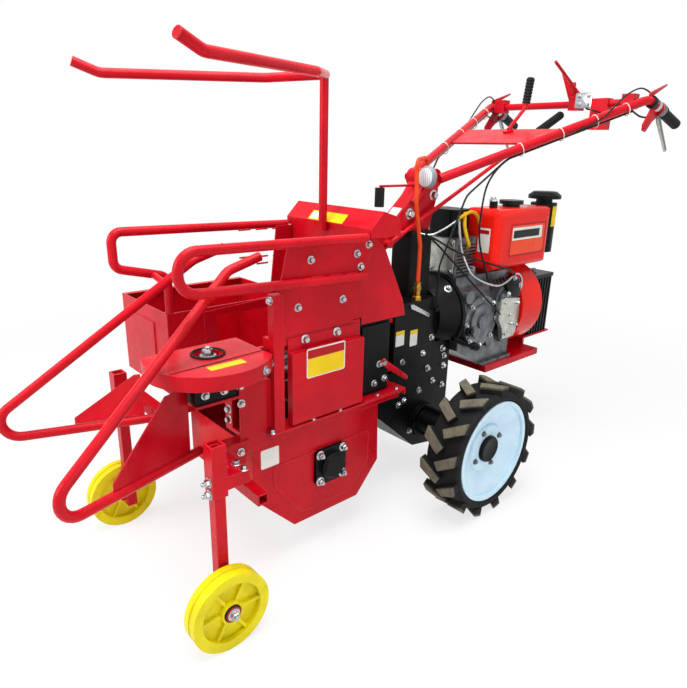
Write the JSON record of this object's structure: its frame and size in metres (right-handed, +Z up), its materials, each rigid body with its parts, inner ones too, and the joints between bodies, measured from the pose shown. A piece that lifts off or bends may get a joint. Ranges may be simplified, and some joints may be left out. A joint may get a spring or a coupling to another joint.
{
  "type": "walk-behind single-row corn harvester",
  "caption": "Two-wheel diesel walking tractor with a front corn-picking header, stalk chopper, ear box, guide bars and handlebars.",
  "frame": {"origin": "on the ground under the middle of the machine's overall box", "axes": "+X forward towards the header, +Y to the machine's left, +Z up"},
  "size_m": [2.0862, 0.798, 1.3145],
  "materials": {
    "red_paint": "gloss",
    "tank_paint": "gloss",
    "black_paint": "satin",
    "black_plastic": "satin",
    "grip_rubber": "matte",
    "tyre_rubber": "matte",
    "rim_paint": "gloss",
    "yellow_plastic": "satin",
    "cast_aluminium": "matte",
    "orange_rubber": "satin",
    "lamp_grey": "satin",
    "bare_steel": "satin"
  },
  "bodies": {
    "machine": {"header_frame": "red_paint", "leg_left": "red_paint", "leg_right": "red_paint", "guide_bar_left": "red_paint", "guide_bar_right": "red_paint", "snout_left": "red_paint", "snout_right": "red_paint", "ear_rail_left": "red_paint", "ear_rail_right": "red_paint", "gathering_cover": "red_paint", "gathering_case": "black_paint", "ear_box": "red_paint", "wall_left": "red_paint", "wall_right": "red_paint", "hood": "red_paint", "rear_chute": "red_paint", "top_fork": "red_paint", "side_cover": "red_paint", "chopper_housing": "red_paint", "rotor_bearings": "black_paint", "shelf": "red_paint", "header_gearbox": "black_paint", "hitch": "red_paint", "tractor_gearbox": "black_paint", "clutch_housing": "black_paint", "crankcase": "cast_aluminium", "engine_cylinder": "cast_aluminium", "muffler": "black_paint", "fan_shroud": "tank_paint", "fuel_tank": "tank_paint", "tank_caps": "black_plastic", "air_cleaner": "black_paint", "battery": "black_plastic", "engine_base": "red_paint", "handle_base": "red_paint", "handlebars": "red_paint", "grips": "grip_rubber", "console": "red_paint", "gear_levers": "red_paint", "lever_grips": "grip_rubber", "hand_levers": "bare_steel", "control_brackets": "red_paint", "throttle_lever": "red_paint", "lamp": "lamp_grey", "cable_left": "black_plastic", "cable_right": "black_plastic", "hose": "orange_rubber"},
    "wheel_left": {"tyre_left": "tyre_rubber", "rim_left": "rim_paint", "hub_left": "bare_steel"},
    "wheel_right": {"tyre_right": "tyre_rubber", "rim_right": "rim_paint", "hub_right": "bare_steel"},
    "front_wheel_left": {"front_wheel_left": "yellow_plastic"},
    "front_wheel_right": {"front_wheel_right": "yellow_plastic"},
    "gathering_wheel": {"gathering_wheel": "bare_steel"},
    "stalk_roller_left": {"stalk_roller_left": "bare_steel"},
    "stalk_roller_right": {"stalk_roller_right": "bare_steel"},
    "chopper_rotor": {"chopper_rotor": "bare_steel"}
  },
  "joints": [
    {"name": "wheel_left_spin", "type": "hinge", "parent": "machine", "child": "wheel_left", "pos_m": [-0.0924, 0.3415, 0.2], "axis": [0, 1, 0], "continuous": true},
    {"name": "wheel_right_spin", "type": "hinge", "parent": "machine", "child": "wheel_right", "pos_m": [-0.0924, -0.2635, 0.2], "axis": [0, 1, 0], "continuous": true},
    {"name": "front_wheel_left_spin", "type": "hinge", "parent": "machine", "child": "front_wheel_left", "pos_m": [0.7566, 0.3265, 0.091], "axis": [0, 1, 0], "continuous": true},
    {"name": "front_wheel_right_spin", "type": "hinge", "parent": "machine", "child": "front_wheel_right", "pos_m": [0.7566, -0.2485, 0.091], "axis": [0, 1, 0], "continuous": true},
    {"name": "gathering_wheel_spin", "type": "hinge", "parent": "machine", "child": "gathering_wheel", "pos_m": [0.6696, 0.134, 0.567], "axis": [0, 0, 1], "continuous": true},
    {"name": "stalk_roller_left_spin", "type": "hinge", "parent": "machine", "child": "stalk_roller_left", "pos_m": [0.2926, 0.072, 0.47], "axis": [1, 0, 0], "continuous": true},
    {"name": "stalk_roller_right_spin", "type": "hinge", "parent": "machine", "child": "stalk_roller_right", "pos_m": [0.2926, 0.006, 0.47], "axis": [1, 0, 0], "continuous": true},
    {"name": "chopper_rotor_spin", "type": "hinge", "parent": "machine", "child": "chopper_rotor", "pos_m": [0.3656, 0.039, 0.24], "axis": [0, 1, 0], "continuous": true}
  ],
  "couplings": [
    {"joint": "stalk_roller_right_spin", "follows": "stalk_roller_left_spin", "ratio": -1}
  ]
}
